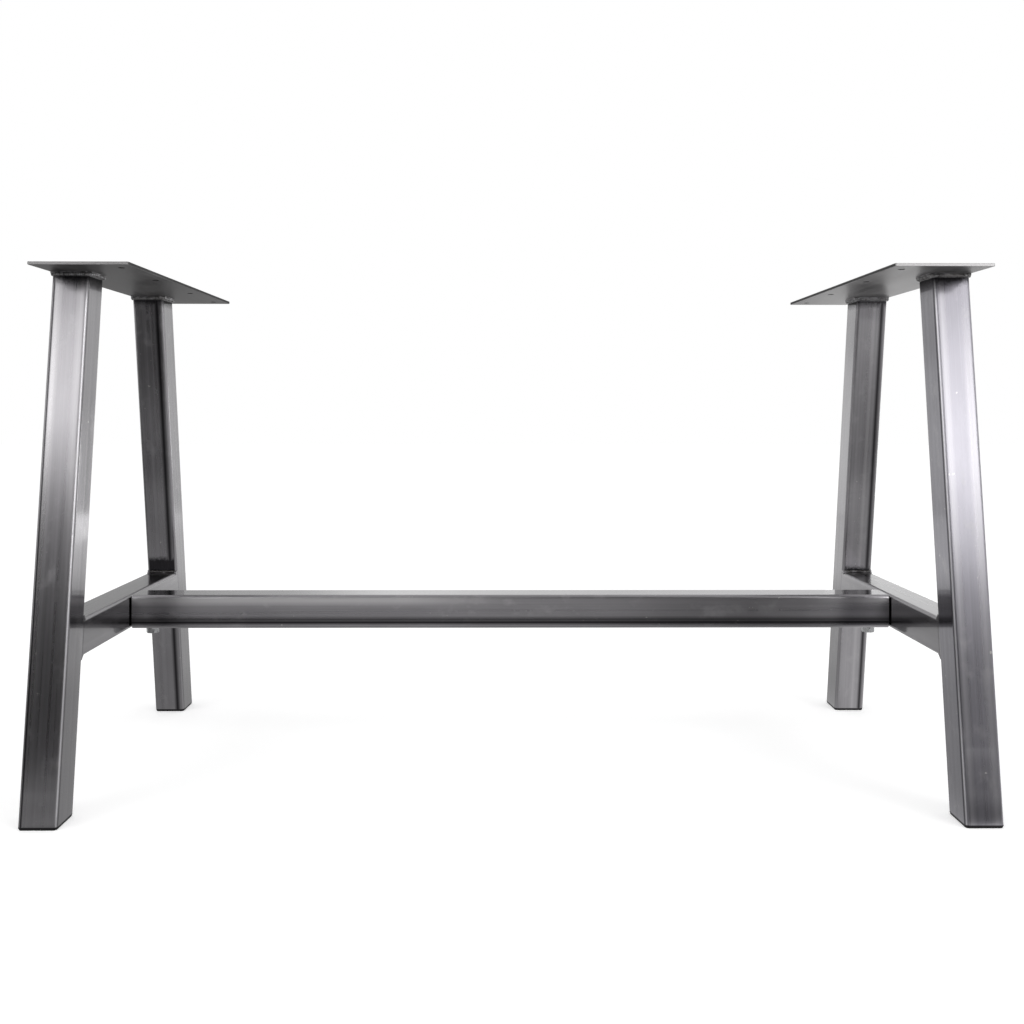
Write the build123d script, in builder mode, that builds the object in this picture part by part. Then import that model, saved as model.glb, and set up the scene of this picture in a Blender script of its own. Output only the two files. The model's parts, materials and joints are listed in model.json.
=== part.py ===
from build123d import *
import os
from math import atan, cos, pi, sin, tan

# Steel table base: two A-shaped end frames of square tube, each under its own top plate,
# joined by a stretcher beam that slides over a spigot on each frame and is bolted from below.
# X runs along the beam, Y from front to rear, Z up. The origin is on the floor, midway between the feet.
# All sizes are in millimetres.

# The four corners: a frame is on the left or the right, and a leg at its front or rear
left, right = -1, 1
front, rear = -1, 1
side_names = {left: "left", right: "right"}
end_names = {front: "front", rear: "rear"}

# The whole base
overall_height = 720.0        # floor to the upper side of the top plates
frame_centres = 1196.0        # from the middle of one end frame to the middle of the other
foot_spread = 555.0           # over the outer faces of a frame's legs, at the foot
head_spread = 345.0           # the same under the top plate
bar_underside = 200.0         # floor to the underside of the cross bars and of the beam

# Square tube of the legs, the cross bars and the beam
tube_width = 50.0
tube_wall = 3.0
tube_bend = 2.0               # radius inside a rolled corner

# Top plates, with a line of screw holes near their inner edge
plate_length = 480.0
plate_reach = 78.0            # from the legs' inner faces in towards the middle of the table
plate_lip = 2.0               # past the legs' outer faces, to carry the weld
plate_thickness = 4.0
plate_corner = 1.5
plate_edge_break = 0.4
screw_hole = 9.0
screw_edge = 20.0             # from the hole line to the plate's inner edge
screw_end = 30.0              # from the outer holes to the plate's ends
inner_screw_spacing = 160.0

# Plastic foot plugs: a pad under the leg, and a ribbed hollow plug up inside its tube
pad_thickness = 2.5
pad_inset = 0.5               # pad's outline inside the leg's outline
pad_bevel = 0.8
plug_depth = 16.0
plug_wall = 1.5
plug_play = 0.8               # plug to tube wall
rib_count = 3
rib_pitch = 4.0
rib_thickness = 1.2
rib_play = 0.1                # rib to tube wall

# Spigots that carry the beam
beam_seam = 2.0               # open seam between the beam's end and the cross bar
spigot_play = 2.0             # spigot's sides to the beam's wall
spigot_wall = 3.0
spigot_bend = 2.0
spigot_reach = 70.0           # out from the cross bar

# M10 screw, washers and weld nut at each end of the beam
bolt_inset = 25.0             # from the cross bar's face to the screw
thread_size = 10.0
thread_length = 20.0
head_flats = 17.0
head_height = 6.4
head_bevel = 0.8
screw_turn = {left: 0.0, right: 25.0}  # degrees, where each screw came tight
tip_bevel = 1.0
clearance_hole = 11.0
washer_size = 20.0
washer_thickness = 2.0
spring_washer_size = 18.1
spring_washer_thickness = 2.2
spring_washer_slit = 1.5
washer_play = 0.25            # washer's bore to the thread, on the radius
nut_flats = 17.0
nut_height = 8.0
nut_play = 0.1                # nut's bore to the thread, on the radius

# Weld beads
head_bead = 4.5               # across the top plate
head_bead_drop = 6.0          # down the leg
bar_bead = 4.0
bead_toe = 0.3                # step where a bead ends on the tube
plate_edge_gap = 0.3          # outer side of the head bead to the plate's outer edge
ground_skin = 0.15            # how far the bar joint's sides are ground below the tube's face
seam_clearance = 0.3          # spigot bead to the beam's end

# Where things stand, worked out from the sizes above
head_level = overall_height - plate_thickness
leg_rise = head_level - pad_thickness
leg_lean = atan((foot_spread - head_spread) / 2 / leg_rise)
leg_cut = tube_width / cos(leg_lean)          # depth of the level cut through a leaning leg
bar_axis = bar_underside + tube_width / 2
bar_face = frame_centres / 2 - tube_width / 2  # from the middle of the table to a cross bar's inner face
tube_bore = tube_width - 2 * tube_wall
tube_corner = tube_bend + tube_wall
plate_width = plate_lip + tube_width + plate_reach
plate_inner_edge = bar_face - plate_reach
beam_half_length = bar_face - beam_seam
spigot_width = tube_bore - 2 * spigot_play
spigot_floor = bar_underside + tube_wall       # spigots rest on the beam's bottom wall
bolt_x = bar_face - bolt_inset


def frame_x(side):
    """the middle of an end frame, along the beam"""
    return side * frame_centres / 2


def leg_y(end, height):
    """the middle of a leaning leg, at a height above the floor"""
    return end * (foot_spread / 2 - leg_cut / 2 - (height - pad_thickness) * tan(leg_lean))


def level_plane(side, end, height):
    """a level plane with its origin in the middle of a leg"""
    return Plane(origin=(frame_x(side), leg_y(end, height), height))


def leg_plane(side, end):
    """a plane square to a leg, at its foot: its normal runs up the leg"""
    foot = (frame_x(side), leg_y(end, pad_thickness), pad_thickness)
    return Plane(origin=foot, x_dir=(1, 0, 0), z_dir=(0, -end * sin(leg_lean), cos(leg_lean)))


def joint_plane(side, end, step=0.0):
    """the inner face of a leg where the cross bar meets it, or a plane that far along the bar"""
    inner_y = leg_y(end, bar_axis) - end * (leg_cut / 2 + step)
    inwards = (0, -end * cos(leg_lean), -sin(leg_lean))
    return Plane(origin=(frame_x(side), inner_y, bar_axis), x_dir=(1, 0, 0), z_dir=inwards)


def bar_plane(side):
    """a plane square to a cross bar, halfway along it"""
    return Plane(origin=(frame_x(side), 0, bar_axis), x_dir=(1, 0, 0), z_dir=(0, 1, 0))


def spigot_plane(side):
    """the cross bar's inner face, with its origin on the spigot's axis and its normal along the spigot"""
    foot = (side * bar_face, 0, spigot_floor + spigot_width / 2)
    return Plane(origin=foot, x_dir=(0, 1, 0), z_dir=(-side, 0, 0))


def tube_section(width, wall, bend):
    """the section of a rolled square tube, drawn in the open sketch"""
    RectangleRounded(width, width, bend + wall)
    RectangleRounded(width - 2 * wall, width - 2 * wall, bend, mode=Mode.SUBTRACT)


def save(part, name):
    """label a finished piece and write its STEP file"""
    part.label = name
    export_step(part, f"parts/{name}.step")


# Legs: square tube, leaning in towards the top, cut level at the foot and under the plate
def make_leg(side, end, hollow=True):
    overrun = tube_width
    with BuildPart() as leg:
        with BuildSketch(leg_plane(side, end).offset(-overrun)):
            if hollow:
                tube_section(tube_width, tube_wall, tube_bend)
            else:
                RectangleRounded(tube_width, tube_width, tube_corner)
        extrude(amount=leg_rise / cos(leg_lean) + 2 * overrun)
        split(bisect_by=Plane.XY.offset(pad_thickness), keep=Keep.TOP)
        split(bisect_by=Plane.XY.offset(head_level), keep=Keep.BOTTOM)
    return leg.part


# Cross bars: the same tube, level, coped to the leaning inner faces of both legs
def make_cross_bar(side, hollow=True):
    with BuildPart() as cross_bar:
        with BuildSketch(bar_plane(side)):
            if hollow:
                tube_section(tube_width, tube_wall, tube_bend)
            else:
                RectangleRounded(tube_width, tube_width, tube_corner)
        extrude(amount=foot_spread / 2, both=True)
        for end in (front, rear):
            split(bisect_by=joint_plane(side, end), keep=Keep.TOP)
    return cross_bar.part


# Top plates: flat bar with broken edges and two pairs of screw holes in a line
def make_top_plate(side):
    middle_x = side * (plate_inner_edge + plate_width / 2)
    screw_x = side * (plate_inner_edge + screw_edge)
    with BuildPart() as top_plate:
        with BuildSketch(Plane.XY.offset(head_level)) as outline:
            with Locations((middle_x, 0)):
                Rectangle(plate_width, plate_length)
            fillet(outline.vertices(), plate_corner)
            for spacing in (plate_length - 2 * screw_end, inner_screw_spacing):
                with Locations((screw_x, -spacing / 2), (screw_x, spacing / 2)):
                    Circle(screw_hole / 2, mode=Mode.SUBTRACT)
        extrude(amount=plate_thickness)
        flats = top_plate.faces().filter_by(Axis.Z)
        rims = [edge for face in flats for edge in face.outer_wire().edges()]
        chamfer(rims, plate_edge_break)
    return top_plate.part


# Foot plugs: the pad is level on the floor, and the plug leans with the leg that it fills
def plug_outline(width, hollow_width):
    """a square ring whose bevelled corners clear the tube's rounded ones, drawn in the open sketch"""
    corners = Rectangle(width, width).vertices()
    chamfer(corners, tube_bend)
    Rectangle(hollow_width, hollow_width, mode=Mode.SUBTRACT)


def make_plug_core(side, end):
    core_width = tube_bore - 2 * plug_play
    hollow_width = core_width - 2 * plug_wall
    rib_width = tube_bore - 2 * rib_play
    with BuildPart() as core:
        with BuildSketch(leg_plane(side, end).offset(-plug_depth)):
            plug_outline(core_width, hollow_width)
        extrude(amount=2 * plug_depth)
        for rib in range(1, rib_count + 1):
            with BuildSketch(leg_plane(side, end).offset(plug_depth - rib * rib_pitch)):
                plug_outline(rib_width, hollow_width)
            extrude(amount=rib_thickness)
        split(bisect_by=Plane.XY.offset(pad_thickness), keep=Keep.TOP)
    return core.part


def make_foot_plug(side, end):
    core = make_plug_core(side, end)
    with BuildPart() as foot_plug:
        with BuildSketch(level_plane(side, end, pad_thickness)):
            RectangleRounded(tube_width - 2 * pad_inset, leg_cut - 2 * pad_inset, tube_corner)
        extrude(amount=-pad_thickness)
        chamfer(foot_plug.faces().sort_by(Axis.Z)[0].edges(), pad_bevel)
        add(core)
    return foot_plug.part


# Stretcher beam: square tube with a clearance hole for the screw in its bottom wall at each end
def make_beam():
    with BuildPart() as beam:
        with BuildSketch(Plane(origin=(0, 0, bar_axis), x_dir=(0, 1, 0), z_dir=(1, 0, 0))):
            tube_section(tube_width, tube_wall, tube_bend)
        extrude(amount=beam_half_length, both=True)
        with BuildSketch(Plane.XY.offset(bar_underside)):
            with Locations((-bolt_x, 0), (bolt_x, 0)):
                Circle(clearance_hole / 2)
        extrude(amount=tube_wall, mode=Mode.SUBTRACT)
    return beam.part


# Spigots: stub tubes welded to the cross bars, that the ends of the beam slide over
def make_spigot(side):
    with BuildPart() as spigot:
        with BuildSketch(spigot_plane(side)):
            tube_section(spigot_width, spigot_wall, spigot_bend)
        extrude(amount=spigot_reach)
        with BuildSketch(Plane.XY.offset(spigot_floor)):
            with Locations((side * bolt_x, 0)):
                Circle(clearance_hole / 2)
        extrude(amount=spigot_wall, mode=Mode.SUBTRACT)
    return spigot.part


# Weld nuts: on the floor inside each spigot, over its hole
def make_weld_nut(side):
    seat = spigot_floor + spigot_wall
    with BuildPart() as weld_nut:
        with BuildSketch(Plane(origin=(side * bolt_x, 0, seat))):
            RegularPolygon(nut_flats / 2, 6, major_radius=False)
            Circle(thread_size / 2 + nut_play, mode=Mode.SUBTRACT)
        extrude(amount=nut_height)
    return weld_nut.part


# Washers: a flat one against the beam's underside, and a split spring washer under it
def make_washer(side):
    with BuildPart() as washer:
        with BuildSketch(Plane(origin=(side * bolt_x, 0, bar_underside))):
            Circle(washer_size / 2)
            Circle(thread_size / 2 + washer_play, mode=Mode.SUBTRACT)
        extrude(amount=-washer_thickness)
    return washer.part


def make_spring_washer(side):
    with BuildPart() as spring_washer:
        with BuildSketch(Plane(origin=(side * bolt_x, 0, bar_underside - washer_thickness))):
            Circle(spring_washer_size / 2)
            Circle(thread_size / 2 + washer_play, mode=Mode.SUBTRACT)
            Rectangle(
                spring_washer_size, spring_washer_slit, align=(Align.MIN, Align.CENTER), mode=Mode.SUBTRACT
            )
        extrude(amount=-spring_washer_thickness)
    return spring_washer.part


# Hex screws: up through the beam's bottom wall and the spigot's into the weld nut.
# A turned profile takes the corners off the head's outer end.
def make_screw(side):
    bearing = bar_underside - washer_thickness - spring_washer_thickness
    head_bottom = bearing - head_height
    corner_radius = head_flats / 2 / cos(pi / 6)
    screw_axis = Axis((side * bolt_x, 0, 0), (0, 0, 1))
    with BuildPart() as screw:
        with BuildSketch(Plane(origin=(side * bolt_x, 0, head_bottom))):
            RegularPolygon(head_flats / 2, 6, major_radius=False, rotation=screw_turn[side])
        extrude(amount=head_height)
        with BuildSketch(Plane(origin=(side * bolt_x, 0, head_bottom), x_dir=(1, 0, 0), z_dir=(0, -1, 0))):
            with BuildLine():
                Polyline(
                    (0, 0),
                    (head_flats / 2, 0),
                    (corner_radius, head_bevel),
                    (corner_radius, head_height),
                    (0, head_height),
                    close=True,
                )
            make_face()
        revolve(axis=screw_axis, mode=Mode.INTERSECT)
        with BuildSketch(Plane(origin=(side * bolt_x, 0, bearing))):
            Circle(thread_size / 2)
        extrude(amount=thread_length)
        chamfer(screw.faces().sort_by(Axis.Z)[-1].edges(), tip_bevel)
    return screw.part


# Weld beads are lofted between two outlines: a wide one on the piece that they lie on, and one that
# ends close to the tube. Bevelled corners stay clear of the tube's rounded ones.
def bead_outline(plane, width, depth, spread):
    """an outline round a tube's section on a plane, that far out from the tube's faces"""
    with BuildSketch(plane) as outline:
        Rectangle(width + 2 * spread, depth + 2 * spread)
        chamfer(outline.vertices(), tube_bend + spread)
    return outline.sketch


# Head welds: a collar round each leg's top, cut back to the plate's outer edge
def make_head_weld(side, end):
    reach = tube_width / 2 + plate_lip - plate_edge_gap
    outer_limit = Plane(origin=(frame_x(side) + side * reach, 0, head_level), z_dir=(side, 0, 0))
    wide = bead_outline(level_plane(side, end, head_level), tube_width, leg_cut, head_bead)
    low = level_plane(side, end, head_level - head_bead_drop)
    narrow = bead_outline(low, tube_width, leg_cut, bead_toe)
    with BuildPart() as head_weld:
        loft([wide, narrow], ruled=True)
        split(bisect_by=outer_limit, keep=Keep.BOTTOM)
        add(make_leg(side, end, hollow=False), mode=Mode.SUBTRACT)
    return head_weld.part


# Bar welds: a bead round each end of a cross bar, which also fills the leg's rounded corners,
# with both sides ground flush with the tubes
def make_bar_weld(side, end):
    root = joint_plane(side, end)
    skin = tube_width / 2 - ground_skin
    wide = bead_outline(root, tube_width, leg_cut, bar_bead)
    narrow = bead_outline(joint_plane(side, end, bar_bead), tube_width, leg_cut, bead_toe)
    with BuildPart() as bar_weld:
        loft([wide, narrow], ruled=True)
        with BuildSketch(root):
            Rectangle(tube_width, leg_cut + 2 * bar_bead)
        extrude(amount=-tube_corner)
        split(bisect_by=Plane.YZ.offset(frame_x(side) + skin), keep=Keep.BOTTOM)
        split(bisect_by=Plane.YZ.offset(frame_x(side) - skin), keep=Keep.TOP)
        add(make_leg(side, end, hollow=False), mode=Mode.SUBTRACT)
        add(make_cross_bar(side, hollow=False), mode=Mode.SUBTRACT)
    return bar_weld.part


# Spigot welds: a bead round each spigot's root, inside the seam
def make_spigot_weld(side):
    bead = beam_seam - seam_clearance
    root = spigot_plane(side)
    wide = bead_outline(root, spigot_width, spigot_width, bead)
    narrow = bead_outline(root.offset(bead), spigot_width, spigot_width, bead_toe)
    with BuildPart() as spigot_weld:
        loft([wide, narrow], ruled=True)
        with BuildSketch(root):
            RectangleRounded(spigot_width, spigot_width, spigot_bend + spigot_wall)
        extrude(amount=bead, mode=Mode.SUBTRACT)
    return spigot_weld.part


os.makedirs("parts", exist_ok=True)
save(make_beam(), "stretcher_beam")
for side, side_name in side_names.items():
    save(make_cross_bar(side), f"{side_name}_cross_bar")
    save(make_top_plate(side), f"{side_name}_top_plate")
    save(make_spigot(side), f"{side_name}_beam_spigot")
    save(make_spigot_weld(side), f"{side_name}_spigot_weld")
    save(make_weld_nut(side), f"{side_name}_weld_nut")
    save(make_washer(side), f"{side_name}_washer")
    save(make_spring_washer(side), f"{side_name}_spring_washer")
    save(make_screw(side), f"{side_name}_beam_screw")
    for end, end_name in end_names.items():
        save(make_leg(side, end), f"{side_name}_{end_name}_leg")
        save(make_foot_plug(side, end), f"{side_name}_{end_name}_foot_plug")
        save(make_head_weld(side, end), f"{side_name}_{end_name}_head_weld")
        save(make_bar_weld(side, end), f"{side_name}_{end_name}_bar_weld")
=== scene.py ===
# %% [markdown]
# # A bare steel table base
# Two A-shaped end frames of square tube stand under flat top plates, and a stretcher beam joins them.
# The maker brushed the tubes along their length and sealed them with clear lacquer, so the steel stays
# dark and glossy. The CAD model already has every solid at its real size. This script loads it as a fixed
# frame, gives each solid its finish, lays rippled weld beads over the plain ones, and sets up the studio.

# %% Load the packed model
import json
import math
from collections import namedtuple

import bmesh
import bpy
from mathutils import Euler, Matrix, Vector

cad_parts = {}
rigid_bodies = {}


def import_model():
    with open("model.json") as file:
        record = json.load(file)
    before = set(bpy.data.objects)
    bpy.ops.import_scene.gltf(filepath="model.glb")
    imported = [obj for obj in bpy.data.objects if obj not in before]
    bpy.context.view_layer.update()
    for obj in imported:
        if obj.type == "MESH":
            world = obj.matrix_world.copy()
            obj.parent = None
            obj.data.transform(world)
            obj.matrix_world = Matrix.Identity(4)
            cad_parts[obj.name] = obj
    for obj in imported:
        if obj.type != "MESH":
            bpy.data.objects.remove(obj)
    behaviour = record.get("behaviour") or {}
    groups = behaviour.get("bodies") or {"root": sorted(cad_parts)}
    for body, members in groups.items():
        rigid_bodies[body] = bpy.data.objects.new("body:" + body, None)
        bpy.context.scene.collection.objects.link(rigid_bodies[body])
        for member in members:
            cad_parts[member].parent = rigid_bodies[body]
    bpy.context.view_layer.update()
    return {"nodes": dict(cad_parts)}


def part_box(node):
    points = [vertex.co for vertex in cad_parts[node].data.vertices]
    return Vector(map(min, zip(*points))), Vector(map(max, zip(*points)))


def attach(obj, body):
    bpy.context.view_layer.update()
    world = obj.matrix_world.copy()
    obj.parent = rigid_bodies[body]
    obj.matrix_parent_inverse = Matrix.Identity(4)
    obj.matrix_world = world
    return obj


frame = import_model()
nodes = frame["nodes"]

# %% [markdown]
# ## Sizes that the finishes need
# A brushed line has to run along its own tube, and a bead has to follow the joint that it closes, so the
# script needs the tubes' width and the legs' lean. They could be typed in again, but reading them from the
# solids' boxes keeps both files in step. A leg's box gives its two ends, and the slope between them gives
# its lean. A level cut through a leaning tube is longer than the tube is wide, and by how much depends on
# the lean itself, so the lean is worked out a few times over until it no longer changes.

# %% Measure the tubes and the lean
left, right = -1, 1
front, rear = -1, 1
side_names = {left: "left", right: "right"}
end_names = {front: "front", rear: "rear"}

low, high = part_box("left_front_leg")
tube_width = high.x - low.x
half_tube = tube_width / 2
tube_corner = 0.005                                # radius of the tube's rounded edges
flat_half = half_tube - tube_corner                # how far a flat face reaches from its middle
frame_x = -(low.x + high.x) / 2
foot_level, head_level = low.z, high.z
leg_rise = head_level - foot_level
leg_lean = 0.0
for _ in range(21):
    leg_lean = math.atan((high.y - low.y - tube_width / math.cos(leg_lean)) / leg_rise)
leg_cut = tube_width / math.cos(leg_lean)          # depth of a leg's level section
foot_y = -low.y - leg_cut / 2                      # middle of a leg, at its foot
bar_low, bar_high = (v.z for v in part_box("left_cross_bar"))
bar_axis = (bar_low + bar_high) / 2
print("tube", round(tube_width * 1000, 2), "mm, lean", round(math.degrees(leg_lean), 3), "degrees")


# %% Where a leg's middle is
def leg_y(end, height):
    """the middle of a leaning leg at a height above the floor"""
    return end * (foot_y - (height - foot_level) * math.tan(leg_lean))


print("front leg's middle at its head:", round(leg_y(front, head_level) * 1000, 2), "mm")

# %% [markdown]
# ## A short way to write node trees
# Every finish below is a tree of shader nodes. Made by hand, each node takes several lines, so a small
# class makes a node with all its inputs in one line. An input is either a plain value or another node's
# output. A value that never varies across a surface is given to the shader itself, so that it is set on
# the shader's own socket.


# %% Node helpers
class Tree:
    """the node tree of a material or a world: call it with a node's type to add that node"""

    def __init__(self, owner):
        self.owner = owner
        owner.use_nodes = True
        self.tree = owner.node_tree
        self.tree.nodes.clear()

    def __call__(self, kind, settings=None, **inputs):
        node = self.tree.nodes.new(kind)
        for name, value in (settings or {}).items():
            setattr(node, name, value)
        for name, value in inputs.items():
            numbered = name[0] == "i" and name[1:].isdigit()
            self.feed(node.inputs[int(name[1:]) if numbered else name.replace("_", " ")], value)
        return node

    def feed(self, socket, value):
        if isinstance(value, bpy.types.NodeSocket):
            self.tree.links.new(value, socket)
        else:
            socket.default_value = value

    def finish(self, shader, output="ShaderNodeOutputMaterial"):
        """shows a shader, and gives back the material or world that now has it"""
        self.tree.links.new(shader.outputs[0], self(output).inputs[0])
        return self.owner

    def maths(self, operation, *values, clamp=False):
        inputs = {f"i{number}": value for number, value in enumerate(values)}
        return self("ShaderNodeMath", {"operation": operation, "use_clamp": clamp}, **inputs).outputs[0]

    def times(self, a, b):
        return self.maths("MULTIPLY", a, b)

    def plus(self, a, b, clamp=False):
        return self.maths("ADD", a, b, clamp=clamp)

    def size(self, value):
        return self.maths("ABSOLUTE", value)

    def spread(self, value, lowest, highest, to_low=0.0, to_high=1.0):
        """maps a range of a value on another range, and holds it at both ends"""
        names = {"From_Min": lowest, "From_Max": highest, "To_Min": to_low, "To_Max": to_high}
        return self("ShaderNodeMapRange", {"clamp": True}, Value=value, **names).outputs[0]

    def mix(self, amount, a, b):
        return self("ShaderNodeMix", {"data_type": "RGBA"}, i0=amount, i6=a, i7=b).outputs[2]

    def noise(self, vector, scale, detail=2.0, rough=0.5):
        node = self("ShaderNodeTexNoise", Vector=vector, Scale=scale, Detail=detail, Roughness=rough)
        return node.outputs["Fac"]

    def place(self):
        """coordinates in metres, which are the same for every piece"""
        return self("ShaderNodeTexCoord").outputs["Object"]


def new_material(name):
    return Tree(bpy.data.materials.new(name))


print("node helpers:", [name for name in vars(Tree) if not name.startswith("_")])

# %% [markdown]
# ## Coordinates that run along a tube
# Brushing goes along a tube, whichever way the tube lies: upright with a lean for the legs, to the rear
# for the cross bars, to the right for the beam. One way would be to unwrap each tube by hand. Turning the
# coordinates inside the material is shorter: after the turn, Z runs along the tube, X goes across its
# front face and Y through it, so that one recipe serves all seven tubes.

# %% Tube coordinates
Lie = namedtuple("Lie", "turn through travel")
TubeSpace = namedtuple("TubeSpace", "vector across forward travel")
leg_turn = {end: (-end * leg_lean, 0, 0) for end in end_names}
bar_turn = (math.pi / 2, 0, 0)
beam_turn = (0, math.pi / 2, 0)


def along_grain(paint, turn, through):
    """coordinates with Z along the grain, whose origin is on an axis that passes through a point"""
    axis = Euler(turn).to_matrix() @ Vector(through)
    start = (-axis.x, -axis.y, 0)
    return paint("ShaderNodeMapping", Vector=paint.place(), Location=start, Rotation=turn).outputs[0]


def tube_space(paint, lie):
    """places on a tube: across its front face, towards its front, and along it"""
    turned = along_grain(paint, lie.turn, lie.through)
    parts = paint("ShaderNodeSeparateXYZ", Vector=turned)
    travel = paint("ShaderNodeSeparateXYZ", Vector=paint.place()).outputs[lie.travel]
    return TubeSpace(turned, parts.outputs["X"], paint.times(parts.outputs["Y"], -1.0), travel)


def grain_noise(paint, vector, along, across, shift=0.0, detail=2.0, rough=0.5):
    """a noise with that many cycles per metre along the grain and across it"""
    start = (shift, 2 * shift, 3 * shift)
    squeezed = paint("ShaderNodeMapping", Vector=vector, Location=start, Scale=(across, across, along))
    return paint.noise(squeezed.outputs[0], 1.0, detail, rough)


print("a front leg is turned back by", round(math.degrees(leg_turn[front][0]), 2), "degrees")

# %% [markdown]
# ## Brushed steel
# The real tubes are cold-drawn steel, which a belt has brushed along its length. Close by it is a bundle
# of hairlines, farther off it is bands and soft clouds, and handling has left smudges and small bright
# chips. A picture of brushed metal would repeat and stretch at the corners. Noise that is squeezed across
# the tube and stretched along it never repeats, and a shift of its own makes each tube different.

# %% The grain of brushed steel
Grain = namedtuple("Grain", "hair lines cloud smudge chip")
dark_steel, light_steel = (0.182, 0.176, 0.186), (0.272, 0.264, 0.277)
smudged_steel = (0.42, 0.41, 0.42, 1)
chipped_steel = (0.50, 0.49, 0.48, 1)


def brushed_grain(paint, vector, shift):
    """the noises of a brushed surface, from single hairs to wide clouds"""
    hair = grain_noise(paint, vector, 3.0, 900.0, shift, 1.0)
    band = grain_noise(paint, vector, 0.8, 150.0, shift)
    cloud = grain_noise(paint, vector, 5.0, 16.0, shift, 3.0, 0.6)
    smudge = paint.spread(grain_noise(paint, vector, 26.0, 40.0, shift, 4.0, 0.6), 0.56, 0.72)
    chip = paint.spread(grain_noise(paint, vector, 110.0, 130.0, shift, 3.0, 0.6), 0.72, 0.75)
    lines = paint.plus(paint.times(hair, 0.3), paint.times(band, 0.7))
    return Grain(hair, lines, cloud, smudge, chip)


def brushed_colour(paint, grain, shade):
    """dark and light lines in the steel, lightened or darkened by the tube's painted shade, with its smudges
    and chips
    """
    dark, light = ((*(a * b for a, b in zip(steel, shade)), 1) for steel in (dark_steel, light_steel))
    tone = paint.plus(paint.times(grain.lines, 0.6), paint.times(grain.cloud, 0.4))
    steel = paint.mix(paint.spread(tone, 0.34, 0.66), dark, light)
    steel = paint.mix(paint.times(grain.smudge, 0.3), steel, smudged_steel)
    return paint.mix(grain.chip, steel, chipped_steel)


print("steel from", dark_steel, "to", light_steel)

# %% [markdown]
# ## Streaks and corners
# Long dark streaks along the tubes' fronts are painted dark reflections, and light ones are painted
# highlights. They run dead straight for the tube's whole length, or fade out on the way. On the rounded
# corners a painted highlight lies next to the front face, and a thin line of painted shade where the side
# face begins. Noise can't make one straight streak in a chosen place, so each one is a mask: how far a point
# is from the streak's middle, limited to the face or corner that it lies on.

# %% Masks for streaks and corners
Fade = namedtuple("Fade", "start stop at_start at_stop")              # between two places along the tube
Streak = namedtuple("Streak", "middle half_width strength fade", defaults=(None,))
Corner = namedtuple("Corner", "hand shine dark_line")                 # hand: 1 is right, -1 is left
face_edge = (half_tube - 0.0004, half_tube - 0.0001)                  # a face's mask rises between these
# a painted highlight in the middle of the rounded corner, and a painted shade line at its end
highlight_edge = (flat_half + 0.0021, flat_half + 0.0031)                 # the middle of the rounded corner
shade_line_edge = (flat_half + 0.0035, flat_half + 0.0040)                  # its end, next to the side face
shade_line_front = (flat_half + 0.0002, flat_half + 0.0012)


def streak_mask(paint, tube, streak):
    """how strongly a streak shows: it runs along the front face, at a distance from the face's middle"""
    off = paint.size(paint.maths("SUBTRACT", tube.across, streak.middle))
    mask = paint.spread(off, streak.half_width * 0.2, streak.half_width * 1.4, streak.strength, 0.0)
    mask = paint.times(mask, paint.spread(tube.forward, *face_edge))
    if streak.fade:
        mask = paint.times(mask, paint.spread(tube.travel, *streak.fade))
    return mask


def corner_mask(paint, tube, hand, sideways, forward, strength):
    """how strongly a part of a rounded front corner is marked, between distances from the tube's axis: for
    its painted highlight and its painted shade line
    """
    to_side = paint.spread(paint.times(tube.across, hand), *sideways, 0.0, strength)
    return paint.times(to_side, paint.spread(tube.forward, *forward))


# where the painted highlight on the corner lies
print("polished corner from", [round(edge * 1000, 1) for edge in highlight_edge], "mm")

# %% [markdown]
# ## Painted shade under the plates, and darkened bands
# A band of painted shade darkens each leg just under its plate, with a ragged edge, and the legs are also
# darkened above the bars' ends and over the lowest two millimetres above the pads. Two front legs and the
# beam carry painted shade over long stretches too, which takes the light out of them. Both could be painted
# by hand. Here they follow the measured joints instead: the height above a joint gives the mask, and a
# little noise on the height makes it ragged.

# %% Masks for painted shade and darkened bands
Burn = namedtuple("Burn", "end reach")             # reach: how far the darkening goes up from the bar
# the first black is for the dark marks (painted dark reflections, painted shade, darkened bands), the second
# for painted shade over long stretches
dark_mark_black = (0.014, 0.013, 0.015, 1)
painted_shade_black = (0.02, 0.02, 0.02, 1)
ragged = 0.010                                     # how far the dark edge wanders
# painted shade under the plates, from this far below them, and full from the second
shade_below_plate, full_shade_below_plate = 0.014, 0.003
bar_darkening_fade = 0.008
# the lowest two millimetres above the pads are darkened
foot_band = (foot_level + 0.0012, foot_level + 0.0020)
painted_shade_edge = (half_tube - 0.0010, half_tube - 0.0002)


def strongest(paint, masks):
    """the highest of several masks at each place"""
    most = masks[0]
    for mask in masks[1:]:
        most = paint.maths("MAXIMUM", most, mask)
    return most


def darkening_mask(paint, tube, burn):
    """how strongly a leg is darkened: by painted shade under its plate, above the bar's end and at its foot
    """
    height = paint.plus(tube.travel, paint.times(paint.noise(paint.place(), 260.0, 3.0, 0.6), ragged))
    painted_shade_at_head = paint.spread(height, head_level - shade_below_plate, head_level - full_shade_below_plate, 0.0, 0.9)
    darkening_top = bar_high + burn.reach
    below_top = paint.spread(height, darkening_top, darkening_top + bar_darkening_fade, 0.95, 0.0)
    above_bar = paint.spread(height, bar_high, bar_high + 0.002)
    facing_bar = paint.spread(paint.times(tube.forward, burn.end), *face_edge)
    at_bar = paint.times(paint.times(below_top, above_bar), facing_bar)
    at_foot = paint.spread(tube.travel, *foot_band, 0.95, 0.0)
    return strongest(paint, [at_foot, painted_shade_at_head, at_bar])


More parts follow.
